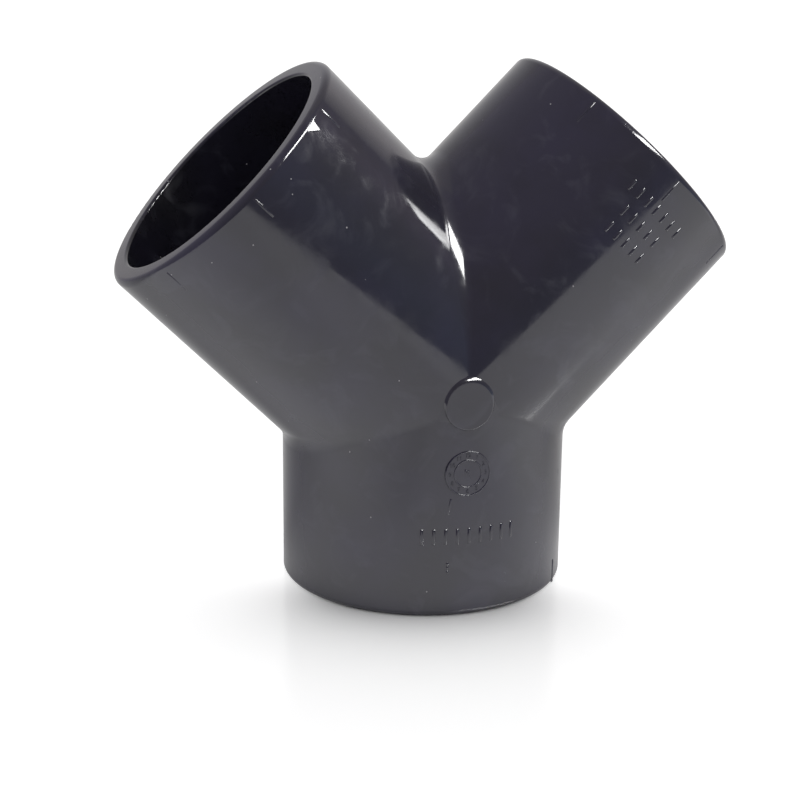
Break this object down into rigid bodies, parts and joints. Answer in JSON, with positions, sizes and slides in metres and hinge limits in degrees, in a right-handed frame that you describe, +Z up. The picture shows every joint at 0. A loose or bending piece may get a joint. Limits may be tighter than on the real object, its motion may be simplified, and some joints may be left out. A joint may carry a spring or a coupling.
{
  "type": "wye pipe fitting",
  "caption": "Symmetric Y-shaped solvent-weld pressure pipe fitting: an upright stem socket splits into equal arm sockets that lean 45 degrees to each side.",
  "frame": {"origin": "centre of the stem socket's rim, on the surface that the fitting stands on", "axes": "+Z up along the stem towards the junction; +X towards one arm and -X towards the other, with all three branch axes in the XZ plane; -Y is the front, with the two round insert faces"},
  "size_m": [0.159, 0.0745, 0.1343],
  "materials": {
    "body": "smooth dark grey moulded rigid PVC, glossy with fine scuffs"
  },
  "bodies": {
    "root": {"wye_body": "body"}
  },
  "joints": []
}
